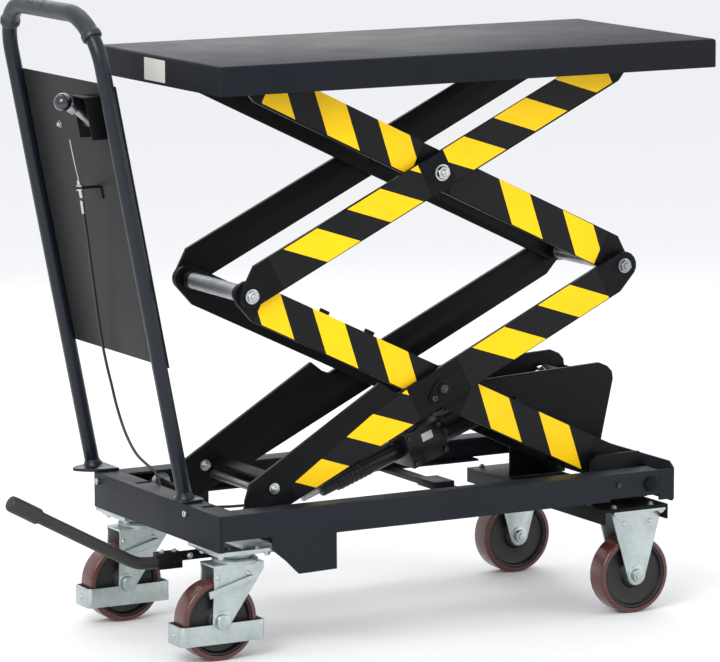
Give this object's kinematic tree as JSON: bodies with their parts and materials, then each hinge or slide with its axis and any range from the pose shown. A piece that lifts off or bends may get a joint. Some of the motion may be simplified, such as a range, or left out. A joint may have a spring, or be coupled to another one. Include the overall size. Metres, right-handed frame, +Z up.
{
  "type": "scissor lift table",
  "caption": "Mobile hand-pushed double scissor lift table with hydraulic foot pump, push handle, braked swivel casters and hazard-striped arms.",
  "frame": {"origin": "middle of the whole table's footprint, on the floor", "axes": "+X along the table away from the push handle, +Y to the far side, +Z up"},
  "size_m": [1.1908, 0.4856, 1.0007],
  "materials": {
    "frame_paint": "semi-gloss dark blue-grey powder coat",
    "arm_paint": "semi-gloss black paint with yellow hazard stripes on the near outer faces",
    "deck_paint": "satin slate grey powder coat",
    "panel": "matt warm dark grey paint",
    "zinc": "zinc plated pressed steel",
    "tread": "reddish brown polyurethane tread",
    "wheel_core": "black moulded or painted wheel core",
    "grip": "dark grey moulded rubber sleeve",
    "knob": "glossy black ball knob on a black lever",
    "cable": "black plastic outer sheath",
    "rod": "hard chromed ram rod",
    "roller_steel": "turned steel rollers",
    "shaft": "zinc plated cross shafts",
    "hydraulics": "black painted pump and cylinder",
    "pedal_black": "black coated lever with a rubber end"
  },
  "bodies": {
    "base": {"rail_near": "frame_paint", "rail_far": "frame_paint", "handle_end_channel": "frame_paint", "end_cap": "frame_paint", "caster_beam": "frame_paint", "roller_track_near": "frame_paint", "roller_track_far": "frame_paint", "pivot_bracket_near": "frame_paint", "pivot_bracket_far": "frame_paint", "swivel_mount_near": "frame_paint", "swivel_mount_far": "frame_paint", "fixed_fork_near": "zinc", "fixed_fork_far": "zinc", "foot_pump": "hydraulics", "ram_cylinder": "hydraulics", "pump_bracket": "frame_paint", "handle_frame": "frame_paint", "handle_grip": "grip", "handle_panel": "panel", "lever_bracket": "frame_paint", "release_cable": "cable", "cable_stop": "frame_paint"},
    "lower_inner_arms": {"lower_inner_arm_near": "arm_paint", "lower_inner_arm_far": "arm_paint", "rocker_box": "frame_paint", "left_cross_shaft": "shaft"},
    "lower_outer_arms": {"lower_outer_arm_near": "arm_paint", "lower_outer_arm_far": "arm_paint", "lower_cross_bar": "frame_paint"},
    "upper_outer_arms": {"upper_outer_arm_near": "arm_paint", "upper_outer_arm_far": "arm_paint"},
    "upper_inner_arms": {"upper_inner_arm_near": "arm_paint", "upper_inner_arm_far": "arm_paint", "right_cross_shaft": "shaft"},
    "deck": {"platform": "deck_paint", "platform_rail_near": "frame_paint", "platform_rail_far": "frame_paint"},
    "ram": {"ram_rod": "rod"},
    "pedal": {"foot_pedal": "pedal_black"},
    "lever": {"release_lever": "knob"},
    "base_roller_near": {"base_roller_near": "roller_steel"},
    "deck_roller_near": {"deck_roller_near": "roller_steel"},
    "swivel_near": {"swivel_fork_near": "zinc", "toe_guard_near": "zinc"},
    "brake_near": {"brake_strip_near": "zinc"},
    "wheel_swivel_near": {"tyre_swivel_near": "tread", "wheel_core_swivel_near": "wheel_core"},
    "wheel_fixed_near": {"tyre_fixed_near": "tread", "wheel_core_fixed_near": "wheel_core"},
    "base_roller_far": {"base_roller_far": "roller_steel"},
    "deck_roller_far": {"deck_roller_far": "roller_steel"},
    "swivel_far": {"swivel_fork_far": "zinc", "toe_guard_far": "zinc"},
    "brake_far": {"brake_strip_far": "zinc"},
    "wheel_swivel_far": {"tyre_swivel_far": "tread", "wheel_core_swivel_far": "wheel_core"},
    "wheel_fixed_far": {"tyre_fixed_far": "tread", "wheel_core_fixed_far": "wheel_core"}
  },
  "joints": [
    {"name": "lift", "type": "hinge", "parent": "base", "child": "lower_inner_arms", "pos_m": [0.47032, -0.02025, 0.211], "axis": [0, 1, 0], "range_deg": [-16, 18]},
    {"name": "lower_middle", "type": "hinge", "parent": "lower_inner_arms", "child": "lower_outer_arms", "pos_m": [0.13497, -0.02025, 0.3815], "axis": [0, 1, 0], "range_deg": [-36.1, 32.1]},
    {"name": "left_side", "type": "hinge", "parent": "lower_inner_arms", "child": "upper_outer_arms", "pos_m": [-0.20039, -0.02025, 0.55201], "axis": [0, 1, 0], "range_deg": [-36.1, 32.1]},
    {"name": "upper_middle", "type": "hinge", "parent": "upper_outer_arms", "child": "upper_inner_arms", "pos_m": [0.13497, -0.02025, 0.72251], "axis": [0, 1, 0], "range_deg": [-32.1, 36.1]},
    {"name": "deck_pivot", "type": "hinge", "parent": "upper_outer_arms", "child": "deck", "pos_m": [0.47032, -0.02025, 0.89301], "axis": [0, 1, 0], "range_deg": [-16.1, 18.1]},
    {"name": "ram_stroke", "type": "slide", "parent": "base", "child": "ram", "axis": [0.94, 0, 0.3411], "range_m": [-0.046, 0.0515]},
    {"name": "base_roller_spin_near", "type": "hinge", "parent": "lower_outer_arms", "child": "base_roller_near", "pos_m": [-0.20039, -0.20725, 0.211], "axis": [0, 1, 0], "continuous": true},
    {"name": "deck_roller_spin_near", "type": "hinge", "parent": "upper_inner_arms", "child": "deck_roller_near", "pos_m": [-0.20039, -0.15675, 0.89301], "axis": [0, 1, 0], "continuous": true},
    {"name": "swivel_near", "type": "hinge", "parent": "base", "child": "swivel_near", "pos_m": [-0.24758, -0.18375, 0.158], "axis": [0, 0, 1], "continuous": true},
    {"name": "wheel_spin_swivel_near", "type": "hinge", "parent": "swivel_near", "child": "wheel_swivel_near", "pos_m": [-0.28208, -0.18375, 0.0625], "axis": [0, 1, 0], "continuous": true},
    {"name": "brake_near", "type": "hinge", "parent": "swivel_near", "child": "brake_near", "pos_m": [-0.23308, -0.20775, 0.124], "axis": [0, 1, 0], "range_deg": [-8, 0]},
    {"name": "wheel_spin_fixed_near", "type": "hinge", "parent": "base", "child": "wheel_fixed_near", "pos_m": [0.45242, -0.20325, 0.0625], "axis": [0, 1, 0], "continuous": true},
    {"name": "base_roller_spin_far", "type": "hinge", "parent": "lower_outer_arms", "child": "base_roller_far", "pos_m": [-0.20039, 0.16675, 0.211], "axis": [0, 1, 0], "continuous": true},
    {"name": "deck_roller_spin_far", "type": "hinge", "parent": "upper_inner_arms", "child": "deck_roller_far", "pos_m": [-0.20039, 0.07825, 0.89301], "axis": [0, 1, 0], "continuous": true},
    {"name": "swivel_far", "type": "hinge", "parent": "base", "child": "swivel_far", "pos_m": [-0.24758, 0.14325, 0.158], "axis": [0, 0, 1], "continuous": true},
    {"name": "wheel_spin_swivel_far", "type": "hinge", "parent": "swivel_far", "child": "wheel_swivel_far", "pos_m": [-0.28208, 0.14325, 0.0625], "axis": [0, 1, 0], "continuous": true},
    {"name": "brake_far", "type": "hinge", "parent": "swivel_far", "child": "brake_far", "pos_m": [-0.23308, 0.11925, 0.124], "axis": [0, 1, 0], "range_deg": [-8, 0]},
    {"name": "wheel_spin_fixed_far", "type": "hinge", "parent": "base", "child": "wheel_fixed_far", "pos_m": [0.45242, 0.16275, 0.0625], "axis": [0, 1, 0], "continuous": true},
    {"name": "pedal_stroke", "type": "hinge", "parent": "base", "child": "pedal", "pos_m": [-0.13208, -0.02025, 0.152], "axis": [0, 1, 0], "range_deg": [-4, 0]},
    {"name": "release", "type": "hinge", "parent": "base", "child": "lever", "pos_m": [-0.40823, -0.03275, 0.819], "axis": [0, 1, 0], "range_deg": [-18, 0]}
  ],
  "couplings": [
    {"joint": "lower_middle", "follows": "lift", "ratio": -2},
    {"joint": "left_side", "follows": "lift", "ratio": -2},
    {"joint": "upper_middle", "follows": "lift", "ratio": 2},
    {"joint": "deck_pivot", "follows": "lift", "ratio": 1},
    {"joint": "ram_stroke", "follows": "lift", "m_per_rad": 0.1627}
  ]
}
